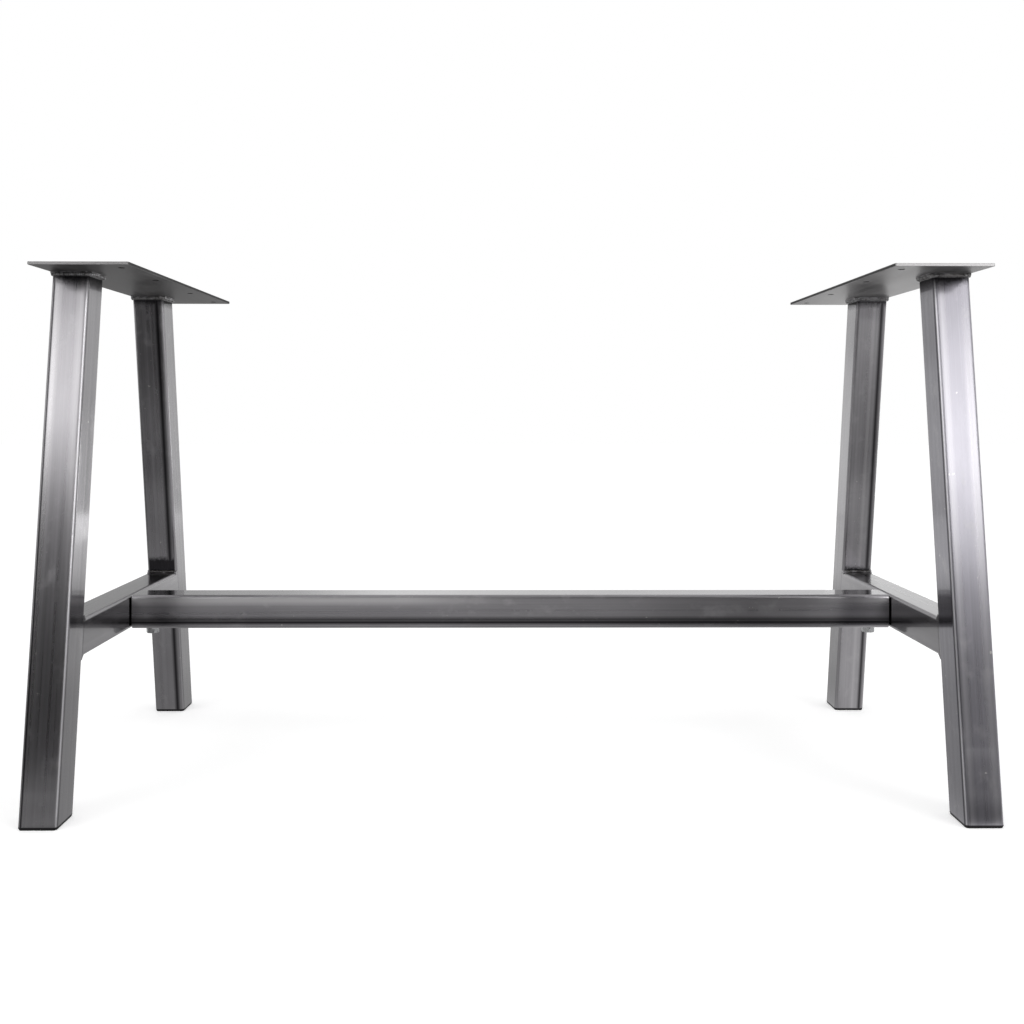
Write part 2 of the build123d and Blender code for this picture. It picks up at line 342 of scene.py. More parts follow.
def painted_shade_film(paint, tube, fades):
    """how much painted shade darkens the front face, as the sum of its fades"""
    film = paint.spread(tube.travel, *fades[0])
    for fade in fades[1:]:
        film = paint.plus(film, paint.spread(tube.travel, *fade))
    return paint.times(film, paint.spread(tube.forward, *painted_shade_edge))


# where the painted shade under the plates begins
print("burnt from", round((head_level - shade_below_plate) * 1000, 1), "mm up to the plates")

# %% [markdown]
# ## Lacquer over the steel
# Brushed metal blurs what it mirrors more across its lines than along them, which Blender calls
# anisotropic, and it needs a tangent to know which way the lines run. The cross product of the surface's
# own direction and the tube's gives that tangent on every face without unwrapping anything. The clear
# lacquer is the shader's coat: it mirrors the room sharply on the flat faces, and less so on the corners,
# where the belt's lines stand up. The coat thins out over the dark marks, so that the painted dark
# reflections, the painted shade and the darkened bands stay dark. The tubes' side faces saw less of the
# belt and are smoother.

# %% All the marks of a tube
# what one tube shows, where its shade multiplies the red, the green and the blue of the steel, as painted
# light and shade that differ from tube to tube
MarksAndPaintedLight = namedtuple("MarksAndPaintedLight", "shade drawn rubbed corner burn oil", defaults=((1, 1, 1), (), (), None, None, ()))
# colours of the painted highlights: along the streaks, and on the corners
highlight_grey = (0.46, 0.45, 0.46, 1)
corner_highlight_steel = (0.92, 0.91, 0.94, 1)


def dark_marks(paint, tube, marks_and_light):
    """every dark mark of a tube: painted dark reflections, the painted shade line at its corner, the painted
    shade under its plate, and the bands darkened above the bar and at the foot
    """
    masks = [streak_mask(paint, tube, streak) for streak in marks_and_light.drawn]
    if marks_and_light.corner and marks_and_light.corner.dark_line:
        hand, _, strength = marks_and_light.corner
        # the painted shade line along the corner
        masks.append(corner_mask(paint, tube, hand, shade_line_edge, shade_line_front, strength))
    if marks_and_light.burn:
        masks.append(darkening_mask(paint, tube, marks_and_light.burn))
    return strongest(paint, masks) if masks else None


def painted_highlights(paint, tube, steel, marks_and_light):
    """the steel's colour with its painted highlight streaks and the painted highlight on its corner"""
    for streak in marks_and_light.rubbed:
        steel = paint.mix(streak_mask(paint, tube, streak), steel, highlight_grey)
    if marks_and_light.corner:
        hand, strength, _ = marks_and_light.corner
        # the painted highlight along the corner
        highlight_mask = corner_mask(paint, tube, hand, highlight_edge, highlight_edge, strength)
        steel = paint.mix(highlight_mask, steel, corner_highlight_steel)
    return steel


print("marks that a tube can have:", MarksAndPaintedLight._fields)

# %% The tube finish
side_edge = (half_tube - 0.0006, half_tube - 0.0002)
rounding = (flat_half - 0.0005, flat_half + 0.0025)


def tube_roughness(paint, tube, grain):
    """how rough the steel is, and the lacquer on it"""
    off_middle = paint.size(tube.across)
    rounded = paint.spread(paint.maths("MINIMUM", off_middle, paint.size(tube.forward)), *rounding)
    steel = paint.spread(grain.lines, 0.35, 0.65, 0.26, 0.34)
    steel = paint.plus(steel, paint.times(grain.smudge, 0.08), clamp=True)
    steel = paint.plus(steel, paint.times(rounded, 0.06), clamp=True)
    steel = paint.times(steel, paint.spread(off_middle, *side_edge, 1.0, 0.55))
    lacquer = paint.spread(grain.cloud, 0.35, 0.7, 0.03, 0.09)
    lacquer = paint.plus(lacquer, paint.times(rounded, 0.22), clamp=True)
    return steel, lacquer


def tube_finish(name, lie, shift, marks_and_light):
    """brushed and lacquered steel for a tube, with that tube's own marks and its painted light and shade"""
    paint = new_material(name)
    tube = tube_space(paint, lie)
    grain = brushed_grain(paint, tube.vector, shift)
    steel = painted_highlights(paint, tube, brushed_colour(paint, grain, marks_and_light.shade), marks_and_light)
    # painted shade over long stretches of the tube
    if marks_and_light.oil:
        steel = paint.mix(painted_shade_film(paint, tube, marks_and_light.oil), steel, painted_shade_black)
    # the dark marks: painted dark reflections, painted shade and darkened bands, under a thinner coat
    marks = dark_marks(paint, tube, marks_and_light)
    lacquer = 1.0
    if marks:
        steel = paint.mix(marks, steel, dark_mark_black)
        lacquer = paint.maths("MULTIPLY_ADD", marks, -0.9, 1.0)
    steel_rough, lacquer_rough = tube_roughness(paint, tube, grain)
    hairlines = paint("ShaderNodeBump", Strength=0.05, Distance=0.0002, Height=grain.hair)
    along = Euler(lie.turn).to_matrix().transposed() @ Vector((0, 0, 1))
    skin = paint("ShaderNodeNewGeometry").outputs["Normal"]
    over_lines = paint("ShaderNodeVectorMath", {"operation": "CROSS_PRODUCT"}, i0=skin, i1=along)
    return paint.finish(paint(
        "ShaderNodeBsdfPrincipled", Base_Color=steel, Metallic=1.0, Roughness=steel_rough,
        Specular_Tint=(0.7, 0.7, 0.7, 1), Anisotropic=0.85, Tangent=over_lines.outputs[0],
        Coat_Weight=lacquer, Coat_Roughness=lacquer_rough, Coat_IOR=1.38, Normal=hairlines.outputs[0],
    ))


print("the corners blur from", [round(edge * 1000, 1) for edge in rounding], "mm off the middle")

# %% [markdown]
# ## The marks of each leg
# The four legs don't look alike: the two in front carry painted highlights beside their edges, the two at
# the rear a broad painted dark reflection, and each one's steel is painted a little lighter or darker, as
# painted light and shade that differ from leg to leg. Chance could deal out such marks, but would put them
# in other places. So each leg has a list of its own. Places across a face are measured from its middle to
# the right, and fades by the height above the floor.

# %% Marks of the legs
# each leg's painted shade of steel, painted dark reflections, painted highlights, corner highlight and shade
# line, darkened bands and painted shade over long stretches
leg_marks_and_light = {
    (left, front): MarksAndPaintedLight(
        drawn=[Streak(-0.0205, 0.0014, 0.95)],
        rubbed=[
            Streak(-0.0165, 0.006, 0.36, Fade(0.08, 0.16, 0.3, 1.0)),
            Streak(0.0165, 0.005, 0.20, Fade(0.08, 0.16, 0.0, 1.0)),
        ],
        corner=Corner(1, shine=0.40, dark_line=0.35),
        burn=Burn(front, reach=0.016),
        oil=[Fade(0.21, 0.32, 0.22, 0.0)],
    ),
    (left, rear): MarksAndPaintedLight(
        shade=(0.95, 0.95, 0.95),
        drawn=[Streak(0.0145, 0.0042, 0.95)],
        corner=Corner(1, shine=0.20, dark_line=0.0),
        burn=Burn(rear, reach=0.026),
    ),
    (right, front): MarksAndPaintedLight(
        shade=(0.96, 0.96, 1.02),
        drawn=[Streak(0.0215, 0.0012, 0.25), Streak(-0.0190, 0.0012, 0.12)],
        rubbed=[Streak(0.0155, 0.006, 0.25, Fade(0.56, 0.68, 1.0, 0.2)), Streak(-0.0165, 0.005, 0.25)],
        corner=Corner(-1, shine=0.44, dark_line=0.6),
        burn=Burn(front, reach=0.016),
        oil=[Fade(0.21, 0.32, 0.04, 0.0)],
    ),
    (right, rear): MarksAndPaintedLight(
        shade=(1.05, 1.05, 1.05),
        drawn=[Streak(0.0165, 0.0036, 0.9), Streak(-0.0225, 0.0012, 0.6)],
        rubbed=[Streak(0.004, 0.003, 0.25)],
        corner=Corner(-1, shine=0.05, dark_line=0.0),
        burn=Burn(rear, reach=0.010),
    ),
}
print("streaks on the legs:", sum(len(marks_and_light.drawn) + len(marks_and_light.rubbed) for marks_and_light in leg_marks_and_light.values()))


# %% Dress the legs
def dress(node, material):
    """gives a CAD solid its finish"""
    slots = nodes[node].material_slots
    if not slots:
        nodes[node].data.materials.append(material)
    for slot in slots:
        slot.link = "OBJECT"
        slot.material = material


for (side, end), marks_and_light in leg_marks_and_light.items():
    foot = (side * frame_x, leg_y(end, foot_level), foot_level)
    shift = 3.1 + 0.7 * side + 1.9 * end
    name = f"{side_names[side]} {end_names[end]}"
    finish = tube_finish(f"{name} tube", Lie(leg_turn[end], foot, "Z"), shift, marks_and_light)
    dress(f"{side_names[side]}_{end_names[end]}_leg", finish)
print("legs dressed:", len(leg_marks_and_light))

# %% [markdown]
# ## Cross bars and beam
# The bars are brushed but bear no marks worth copying, and the welds at their ends are ground flush and
# brushed over with them, so these share the bar's finish. The beam shows the most: a broad painted dark
# reflection low on its front, a painted highlight above that at both ends but not between, and painted shade
# on its right half. Its fades are measured from the middle of the table to the right. They add up, so a fade
# to a negative amount takes the painted shade away again.

# %% Bars and beam
for side, side_name in side_names.items():
    lie = Lie(bar_turn, (side * frame_x, 0, bar_axis), "Y")
    bar = tube_finish(f"{side_name} bar tube", lie, 6.3 + side, MarksAndPaintedLight())
    for node in ("cross_bar", "front_bar_weld", "rear_bar_weld"):
        dress(f"{side_name}_{node}", bar)

# the beam's painted dark reflections, painted highlights and painted shade over long stretches
beam_marks_and_light = MarksAndPaintedLight(
    drawn=[Streak(-0.0157, 0.0034, 0.97), Streak(-0.0120, 0.0047, 0.75), Streak(0.0225, 0.001, 0.4)],
    rubbed=[
        Streak(0.0180, 0.0075, 0.80, Fade(-0.16, 0.0, 1.0, 0.0)),
        Streak(0.0180, 0.0075, 0.70, Fade(0.46, 0.54, 0.0, 1.0)),
    ],
    oil=[Fade(-0.54, -0.46, 0.12, 0.0), Fade(0.16, 0.36, 0.0, 0.36), Fade(0.44, 0.52, 0.0, -0.36)],
)
beam = tube_finish("beam tube", Lie(beam_turn, (0, 0, bar_axis), "X"), 9.4, beam_marks_and_light)
for node in ("stretcher_beam", "left_beam_spigot", "right_beam_spigot"):
    dress(node, beam)
print("tube finishes:", len([m for m in bpy.data.materials if m.name.endswith("tube")]))

# %% [markdown]
# ## Flat bar of the top plates
# The plates are cut from rolled flat bar. Its skin is duller than the tubes', with faint roll lines along
# the plate. Its long edges are dark from rolling, and the walls of the drilled holes show black, as no
# light gets in. The left plate is painted darker and the right one lighter, as painted light and shade, so
# the finish takes a shade. The walls and edges could get materials of their own, face by face. Here one
# material finds them by where a point is and which way its surface faces.

# %% The plate finish
# painted light and shade: the left plate is painted darker, the right one lighter
plate_shade = {left: 1.2, right: 1.6}
dark_plate, light_plate = (0.150, 0.147, 0.149), (0.240, 0.237, 0.237)
hole_black = (0.02, 0.02, 0.02, 1)
edge_black = (0.03, 0.03, 0.03, 1)
hole_inset = 0.020                                 # from the plate's inner edge to the line of holes
hole_reach = (0.0050, 0.0052)                      # a little more than a hole's radius
end_margin = (0.010, 0.008)                        # the plate's short ends aren't taken for holes


def hole_walls(paint, facing, hole_x, half_length):
    """where an upright surface lies on the line of holes, away from the plate's ends"""
    place = paint("ShaderNodeSeparateXYZ", Vector=paint.place())
    off_line = paint.size(paint.maths("SUBTRACT", place.outputs["X"], hole_x))
    near_line = paint.spread(off_line, *hole_reach, 1.0, 0.0)
    upright = paint.spread(paint.size(facing.outputs["Z"]), 0.3, 0.5, 1.0, 0.0)
    ends = [half_length - margin for margin in end_margin]
    inside = paint.spread(paint.size(place.outputs["Y"]), *ends, 1.0, 0.0)
    return paint.times(paint.times(near_line, upright), inside)


def plate_finish(name, shade, hole_x, half_length):
    paint = new_material(name)
    vector = along_grain(paint, bar_turn, (0, 0, 0))
    lines = grain_noise(paint, vector, 2.5, 420.0, detail=3.0, rough=0.6)
    cloud = grain_noise(paint, vector, 9.0, 16.0, detail=4.0, rough=0.6)
    tone = paint.plus(paint.times(lines, 0.5), paint.times(cloud, 0.5))
    dark, light = ((*(part * shade for part in steel), 1) for steel in (dark_plate, light_plate))
    steel = paint.mix(paint.spread(tone, 0.35, 0.65), dark, light)
    facing = paint("ShaderNodeSeparateXYZ", Vector=paint("ShaderNodeNewGeometry").outputs["Normal"])
    steel = paint.mix(hole_walls(paint, facing, hole_x, half_length), steel, hole_black)
    long_edge = paint.spread(paint.size(facing.outputs["X"]), 0.7, 0.8, 0.0, 0.7)
    steel = paint.mix(long_edge, steel, edge_black)
    roll_lines = paint("ShaderNodeBump", Strength=0.10, Distance=0.0003, Height=lines)
    return paint.finish(paint(
        "ShaderNodeBsdfPrincipled", Base_Color=steel, Metallic=1.0,
        Roughness=paint.spread(tone, 0.35, 0.65, 0.34, 0.50), Specular_Tint=(0.4, 0.4, 0.4, 1),
        Normal=roll_lines.outputs[0],
    ))


for side, side_name in side_names.items():
    low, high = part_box(f"{side_name}_top_plate")
    hole_x = side * (min(abs(low.x), abs(high.x)) + hole_inset)
    plate = plate_finish(f"{side_name} rolled plate", plate_shade[side], hole_x, high.y)
    dress(f"{side_name}_top_plate", plate)
    print(side_name, "plate: holes on x =", round(hole_x * 1000, 1), "mm")

# %% [markdown]
# ## Weld metal
# A weld is left as it froze: dark grey, tinted by the heat, with soot in patches. The beads above the
# cross bars sit in a corner that nobody cleans, and are blacker. One recipe serves both, with more soot
# on the second.

# %% The weld finish
weld_grey, tinted_grey = (0.13, 0.125, 0.125, 1), (0.17, 0.168, 0.175, 1)
weld_soot = (0.035, 0.033, 0.033, 1)


def weld_finish(name, soot_low, soot_high):
    """weld metal whose soot begins at one level of the noise, and is full at the other"""
    paint = new_material(name)
    place = paint.place()
    soot = paint.noise(place, 160.0, 4.0, 0.6)
    tint = paint.spread(paint.noise(place, 55.0, 3.0, 0.6), 0.38, 0.62)
    steel = paint.mix(tint, weld_grey, tinted_grey)
    colour = paint.mix(paint.spread(soot, soot_low, soot_high), steel, weld_soot)
    scale = paint("ShaderNodeBump", Strength=0.3, Distance=0.0003, Height=soot)
    return paint.finish(paint(
        "ShaderNodeBsdfPrincipled", Base_Color=colour, Metallic=1.0,
        Roughness=paint.spread(soot, 0.35, 0.7, 0.28, 0.55), Coat_Weight=0.3, Coat_Roughness=0.2,
        Normal=scale.outputs[0],
    ))


weld_metal = weld_finish("weld metal", 0.46, 0.66)
burnt_weld = weld_finish("burnt weld metal", 0.30, 0.52)
print("weld finishes:", weld_metal.name, "and", burnt_weld.name)

# %% [markdown]
# ## Zinc plating
# Screws, washers and nuts are bought parts, plated with zinc: a light grey metal with a faint mottle.
# A little noise in colour and roughness is enough, as they are small and half hidden.

# %% The zinc finish
dull_zinc, bright_zinc = (0.30, 0.30, 0.30, 1), (0.42, 0.425, 0.44, 1)


def zinc_finish(name):
    paint = new_material(name)
    spangle = paint.noise(paint.place(), 420.0, 3.0, 0.6)
    colour = paint.mix(paint.spread(spangle, 0.4, 0.6), dull_zinc, bright_zinc)
    mottle = paint("ShaderNodeBump", Strength=0.1, Distance=0.0002, Height=spangle)
    return paint.finish(paint(
        "ShaderNodeBsdfPrincipled", Base_Color=colour, Metallic=1.0,
        Roughness=paint.spread(spangle, 0.35, 0.65, 0.24, 0.40), Normal=mottle.outputs[0],
    ))


zinc = zinc_finish("zinc plating")
print("zinc:", zinc.name)

# %% [markdown]
# ## Foot plastic
# The pads under the legs are moulded in black plastic with a fine pebbled skin, and pick up some dust.
# They show as a thin black line, so they have to stay black: the reflection is kept low.

# %% The plastic finish, and dressing the small parts
clean_plastic, dusty_plastic = (0.004, 0.004, 0.0045, 1), (0.016, 0.016, 0.016, 1)


def plastic_finish(name):
    paint = new_material(name)
    place = paint.place()
    dust = paint.noise(place, 60.0, 4.0, 0.6)
    colour = paint.mix(paint.spread(dust, 0.5, 0.75), clean_plastic, dusty_plastic)
    pebbles = paint("ShaderNodeBump", Strength=0.25, Distance=0.0002, Height=paint.noise(place, 1400.0))
    return paint.finish(paint(
        "ShaderNodeBsdfPrincipled", Base_Color=colour, Roughness=paint.spread(dust, 0.4, 0.7, 0.50, 0.70),
        Specular_IOR_Level=0.2, Normal=pebbles.outputs[0],
    ))


plastic = plastic_finish("foot plastic")
for name in nodes:
    if name.endswith(("head_weld", "spigot_weld")):
        dress(name, weld_metal)
    elif name.endswith("_plug"):
        dress(name, plastic)
    elif name.endswith(("_washer", "_screw", "_nut")):
        dress(name, zinc)
print("finishes in all:", len(bpy.data.materials))

# %% [markdown]
# ## Ripples of a weld bead
# A hand-laid bead shows a row of small ripples where the pool froze, one after the other, and it is now
# thicker, now thinner, as the hand slows down. The CAD welds are plain bevels of the right size, since
# ripples are far finer than a solid should carry. A bump map would not change the bead's outline against
# the plate, so the beads are meshes laid over those solids.

# %% Ripples
ripple_pitch, ripple_height = 0.0026, 0.00026
ripple_trail = 0.0016                              # a ripple's edges lag this far behind its middle
lump_height = 0.00030
long_lumps, short_lumps = 190.0, 430.0             # in radians per metre


def ripple(travel, across, wander):
    """how far a bead swells at a place along its path: crescents that trail behind at the bead's edges"""
    trailing = ripple_trail * math.cos(math.pi * across)
    crescent = math.sin(math.tau * (travel + trailing) / ripple_pitch)
    lump = math.sin(travel * long_lumps + wander) + 0.6 * math.sin(travel * short_lumps + 2.3 * wander)
    return ripple_height * crescent + lump_height * lump


swells = [round(ripple(step * 0.001, 0.0, 0.0) * 1000, 2) for step in range(4)]
print("a bead's first swells:", swells, "mm")

# %% [markdown]
# ## From sections to a skin
# A bead is described by its section at many places along its path. A curve with a bevel would keep one
# section all the way, and these change from place to place. So the sections are rings of points, and
# each ring is joined to the next by faces. A path that goes round a leg closes on itself, and an open one
# gets a face at each end.


# %% Bead mesh
def bead_mesh(name, stations, closed, finish):
    """joins rings of points along a path into a skin, and closes its ends if the path is open"""
    body = bmesh.new()
    rings = [[body.verts.new(point) for point in ring] for ring in stations]
    count = len(rings)
    for i in range(count if closed else count - 1):
        here, there = rings[i], rings[(i + 1) % count]
        for j in range(len(here)):
            k = (j + 1) % len(here)
            body.faces.new((here[j], there[j], there[k], here[k]))
    if not closed:
        body.faces.new(list(reversed(rings[0])))
        body.faces.new(rings[-1])
    bmesh.ops.recalc_face_normals(body, faces=body.faces)
    for face in body.faces:
        face.smooth = True
    mesh = bpy.data.meshes.new(name)
    body.to_mesh(mesh)
    body.free()
    bead = bpy.data.objects.new(name, mesh)
    bpy.context.scene.collection.objects.link(bead)
    mesh.materials.append(finish)
    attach(bead, "root")
    return bead


section_steps = 9
bluntness = 0.8                                    # below 1, a round section bulges in its middle
print("points in a bead's section:", section_steps + 2)

# %% [markdown]
# ## Beads under the plates
# Each leg is welded to its plate all round. The bead follows the leg's level section, a rectangle with
# rounded corners that is deeper than it is wide because of the lean, and it slides along the leaning leg
# as it drops away from the plate. A distance round that outline is turned into a point and an outward
# direction, side by side and corner by corner. The bead ends at the plate's outer edge.

# %% Path round a leg
half_cut = leg_cut / 2
quarter_arc = tube_corner * math.pi / 2
leg_girth = 2 * (tube_width + leg_cut) - 8 * tube_corner + 4 * quarter_arc


def leg_outline(travel):
    """the point and the outward direction at a distance round a leg's level section"""
    for quarter in range(4):
        width_way = quarter % 2 == 0
        half_run = (half_tube if width_way else half_cut) - tube_corner
        reach = half_cut if width_way else half_tube
        if travel <= 2 * half_run + quarter_arc or quarter == 3:
            bend = max(travel - 2 * half_run, 0.0) / tube_corner
            along = min(travel, 2 * half_run) - half_run + tube_corner * math.sin(bend)
            out = reach - tube_corner + tube_corner * math.cos(bend)
            turn = quarter * math.pi / 2
            x = along * math.cos(turn) + out * math.sin(turn)
            y = out * math.cos(turn) - along * math.sin(turn)
            return (x, y), (math.sin(turn + bend), math.cos(turn + bend))
        travel -= 2 * half_run + quarter_arc


print("once round a leg:", round(leg_girth * 1000, 1), "mm")

# %% Beads under the plates
head_bead_out, head_bead_drop = 0.0042, 0.0058
head_bead_steps = 440
head_tuck = 0.001                                  # the bead's back lies this deep inside the leg
plate_edge = frame_x + half_tube + 0.0017          # the beads are cut back to the plate's outer edge


def lay_head_bead(side, end):
    """the bead round a leg's head, under its plate"""
    wander = 1.7 * side + 0.9 * end
    stations = []
    for i in range(head_bead_steps):
        travel = leg_girth * i / head_bead_steps
        (x, y), (out_x, out_y) = leg_outline(travel)
        x += side * frame_x
        ring = []
        for step in range(section_steps + 1):
            across = step / section_steps
            angle = across * math.pi / 2
            swell = ripple(travel, across - 0.5, wander) * math.sin(math.pi * across)
            out = max(head_bead_out * math.cos(angle) ** bluntness + swell, 0.0)
            height = head_level - max(head_bead_drop * math.sin(angle) ** bluntness + swell, 0.0)
            kept_x = max(-plate_edge, min(plate_edge, x + out_x * out))
            ring.append((kept_x, leg_y(end, height) + y + out_y * out, height))
        back_y = leg_y(end, head_level) + y - out_y * head_tuck
        ring.append((x - out_x * head_tuck, back_y, head_level))
        stations.append(ring)
    name = f"{side_names[side]}_{end_names[end]}_head_bead"
    return bead_mesh(name, stations, True, weld_metal)


print("a bead under a plate stands out by", head_bead_out * 1000, "mm")

# %% [markdown]
# ## Beads at the bars
# Each end of a cross bar is welded across its upper and its lower face, in the corner with the leaning
# leg. The upper bead is left as laid. The lower one is ground to a smooth hollow curve and brushed over,
# so it wears the bar's finish. Both tubes have rounded edges, and there the bead falls away with them.
# The two beads differ in their sections and in how closely these follow each other, so each has a short
# function of its own for that, and both share the corner's shape.

# %% Corner between a leg and a bar
bead_reach = half_tube - 0.00015                   # half of a bar bead's length
bar_tuck = 0.0008


def corner_point(side, end, top, travel, inwards, up):
    """a point off the corner of a leg and a bar's upper (top = 1) or lower (top = -1) face"""
    past_flat = max(abs(travel - bead_reach) - flat_half, 0.0)
    fall = tube_corner - math.sqrt(tube_corner ** 2 - past_flat ** 2)
    z = (bar_high if top == 1 else bar_low) + top * (up - fall)
    y = leg_y(end, z) - end * (half_cut + inwards - fall)
    return (side * frame_x - bead_reach + travel, y, z)


def corner_stations(side, end, top, travels, section):
    """rings of points along a corner, where section(travel, across) says how far each one stands off"""
    stations = []
    for travel in travels:
        offs = [section(travel, step / section_steps) for step in range(section_steps + 1)]
        offs.append((-bar_tuck, -bar_tuck))
        stations.append([corner_point(side, end, top, travel, *off) for off in offs])
    return stations


print("a bar bead is", round(2 * bead_reach * 1000, 2), "mm long")

# %% Beads at the bars, and laying them all
bar_bead = 0.0041
bar_bead_steps = 120
fillet_radius, fillet_steps = 0.009, 24


def lay_bar_bead(side, end):
    """the rippled bead across the bar's upper face"""
    wander = 2.1 * side + 1.3 * end

    def section(travel, across):
        angle = across * math.pi / 2
        swell = 1.3 * ripple(travel, across - 0.5, wander) * math.sin(math.pi * across)
        inwards, up = (bar_bead * share ** bluntness + swell for share in (math.cos(angle), math.sin(angle)))
        return max(inwards, 0.0), max(up, 0.0)

    travels = [2 * bead_reach * i / bar_bead_steps for i in range(bar_bead_steps + 1)]
    stations = corner_stations(side, end, 1, travels, section)
    name = f"{side_names[side]}_{end_names[end]}_upper_bead"
    return bead_mesh(name, stations, False, burnt_weld)


def lay_fillet(side, end):
    """the bead under the bar, ground to a hollow curve, with more rings where the tubes are rounded"""
    def section(travel, across):
        angle = across * math.pi / 2
        return fillet_radius * (1 - math.sin(angle)), fillet_radius * (1 - math.cos(angle))

    travels = [bead_reach * (1 - math.cos(math.pi * i / fillet_steps)) for i in range(fillet_steps + 1)]
    stations = corner_stations(side, end, -1, travels, section)
    finish = bpy.data.materials[f"{side_names[side]} bar tube"]
    return bead_mesh(f"{side_names[side]}_{end_names[end]}_fillet", stations, False, finish)


beads = []
for joint in leg_marks_and_light:
    beads += [lay(*joint) for lay in (lay_head_bead, lay_bar_bead, lay_fillet)]
print("beads:", len(beads), "with", sum(len(bead.data.polygons) for bead in beads), "faces")

# %% [markdown]
# ## The camera
# The photograph was taken from in front of the table's middle, from above the beam but below the plates.
# The camera was almost level, and the picture reaches farther down than up, which keeps upright things
# upright. A camera that is tilted down would draw the feet together, so this one is shifted instead, and
# tilted by half a degree only. Its place and its small angles were fitted to the edges of the tubes.

# %% Camera
picture_size = 1024
focal_pixels = 1009.44
centre_row = 420.4                                 # where the lens points, in pixels from the top
camera_place = (-0.0116, -1.5446, 0.5285)
nod, roll, swing = -0.0097, -0.0008, -0.008        # in radians

camera_data = bpy.data.cameras.new("camera")
camera = bpy.data.objects.new("camera", camera_data)
bpy.context.scene.collection.objects.link(camera)
bpy.context.scene.camera = camera
camera_data.sensor_width = 36.0
camera_data.lens = focal_pixels * camera_data.sensor_width / picture_size
camera_data.shift_y = (centre_row - picture_size / 2) / picture_size
camera.location = camera_place
camera.rotation_euler = (math.pi / 2 + nod, roll, swing)
bpy.context.scene.view_settings.view_transform = "Standard"
print("lens", round(camera_data.lens, 2), "mm, shift", round(camera_data.shift_y, 4))

# %% [markdown]
# ## Floor and backdrop
# The base stands on a pale floor in front of a white backdrop, and only its soft shadows show where the
# floor is. A white floor alone would come out grey, so it also glows a little where the camera or a
# reflection sees it. The world is the backdrop: white to the camera, and dimmer as a source of light.


# %% Floor and world
def flat_sheet(name, corners):
    """a single flat face through four corners"""
    mesh = bpy.data.meshes.new(name)
    mesh.from_pydata(corners, [], [(0, 1, 2, 3)])
    sheet = bpy.data.objects.new(name, mesh)
    bpy.context.scene.collection.objects.link(sheet)
    return sheet


def seen_rays(paint):
    """a node that knows the rays, and a mask of those that the camera or a reflection sees"""
    ray = paint("ShaderNodeLightPath")
    return ray, paint.maths("MAXIMUM", ray.outputs["Is Camera Ray"], ray.outputs["Is Glossy Ray"])


def floor_finish(name, glow_strength):
    paint = new_material(name)
    _, seen = seen_rays(paint)
    glow = paint("ShaderNodeEmission", Color=(1, 1, 1, 1), Strength=paint.times(seen, glow_strength))
    matt = paint("ShaderNodeBsdfDiffuse", Color=(0.80, 0.80, 0.80, 1))
    return paint.finish(paint("ShaderNodeAddShader", i0=matt.outputs[0], i1=glow.outputs[0]))


far = 14.0
floor = flat_sheet("floor", [(-far, -far, 0), (far, -far, 0), (far, far, 0), (-far, far, 0)])
floor.data.materials.append(floor_finish("studio floor", 0.45))

sky = Tree(bpy.data.worlds.new("studio"))
ray, seen = seen_rays(sky)
seen = sky.maths("MAXIMUM", seen, ray.outputs["Is Transmission Ray"])
backdrop = sky("ShaderNodeBackground", Color=(1, 1, 1, 1), Strength=sky.spread(seen, 0.0, 1.0, 0.75, 1.0))
bpy.context.scene.world = sky.finish(backdrop, "ShaderNodeOutputWorld")
print("floor of", 2 * far, "m and world", bpy.context.scene.world.name)

# %% [markdown]
# ## Cards that only the metal sees
# Polished metal shows its surroundings, so the room matters as much as the finish. Each face of a tube
# mirrors one stretch of it: the legs' fronts run from light heads to dark feet because the room in front
# is bright above and dark below. A photographer does this with boards beside the camera. Here each board
# is a glowing card that only reflections can see. Its brightness is graded along one axis, differently at
# its left and its right, and dimmed in places on the way across.


# %% A graded card
def ramp(paint, value, stops, peak):
    """a smooth curve through (place, brightness) stops, with brightness as a share of the peak"""
    node = paint("ShaderNodeValToRGB", Fac=value)
    node.color_ramp.interpolation = "EASE"
    while len(node.color_ramp.elements) < len(stops):
        node.color_ramp.elements.new(0.5)
    for element, (where, shade) in zip(node.color_ramp.elements, stops):
        element.position = where
        element.color = (shade / peak, shade / peak, shade / peak, 1)
    return node.outputs[0]


brightest = 6.5


def card_finish(name, axis, at_left, at_right, across):
    """a glow graded along the card, with stops of its own at each hand, and dimmed on the way across"""
    paint = new_material(name)
    parts = paint("ShaderNodeSeparateXYZ", Vector=paint("ShaderNodeTexCoord").outputs["Generated"])
    left_glow = ramp(paint, parts.outputs[axis], at_left, brightest)
    right_glow = ramp(paint, parts.outputs[axis], at_right, brightest)
    colour = paint.mix(paint.spread(parts.outputs["X"], 0.40, 0.60), left_glow, right_glow)
    dimmed = paint.mix(ramp(paint, parts.outputs["X"], across, 1.0), (0, 0, 0, 1), colour)
    return paint.finish(paint("ShaderNodeEmission", Color=dimmed, Strength=brightest))


def card(name, corners, axis, **grading):
    """a glowing card that only reflections see"""
    sheet = flat_sheet(name, corners)
    sheet.data.materials.append(card_finish(name, axis, **grading))
    sheet.visible_camera = False
    sheet.visible_diffuse = False
    sheet.visible_shadow = False
    sheet.visible_transmission = False
    return sheet


print("a card's brightest place:", brightest)


# %% Where the cards stand
def standing(span, y, bottom, top):
    """the corners of a card that stands across the room, from one x to another"""
    start, stop = span
    return [(start, y, bottom), (stop, y, bottom), (stop, y, top), (start, y, top)]


def lying(span, near, far, height=0.002):
    """the corners of a card that lies just above the floor"""
    start, stop = span
    return [(start, near, height), (stop, near, height), (stop, far, height), (start, far, height)]


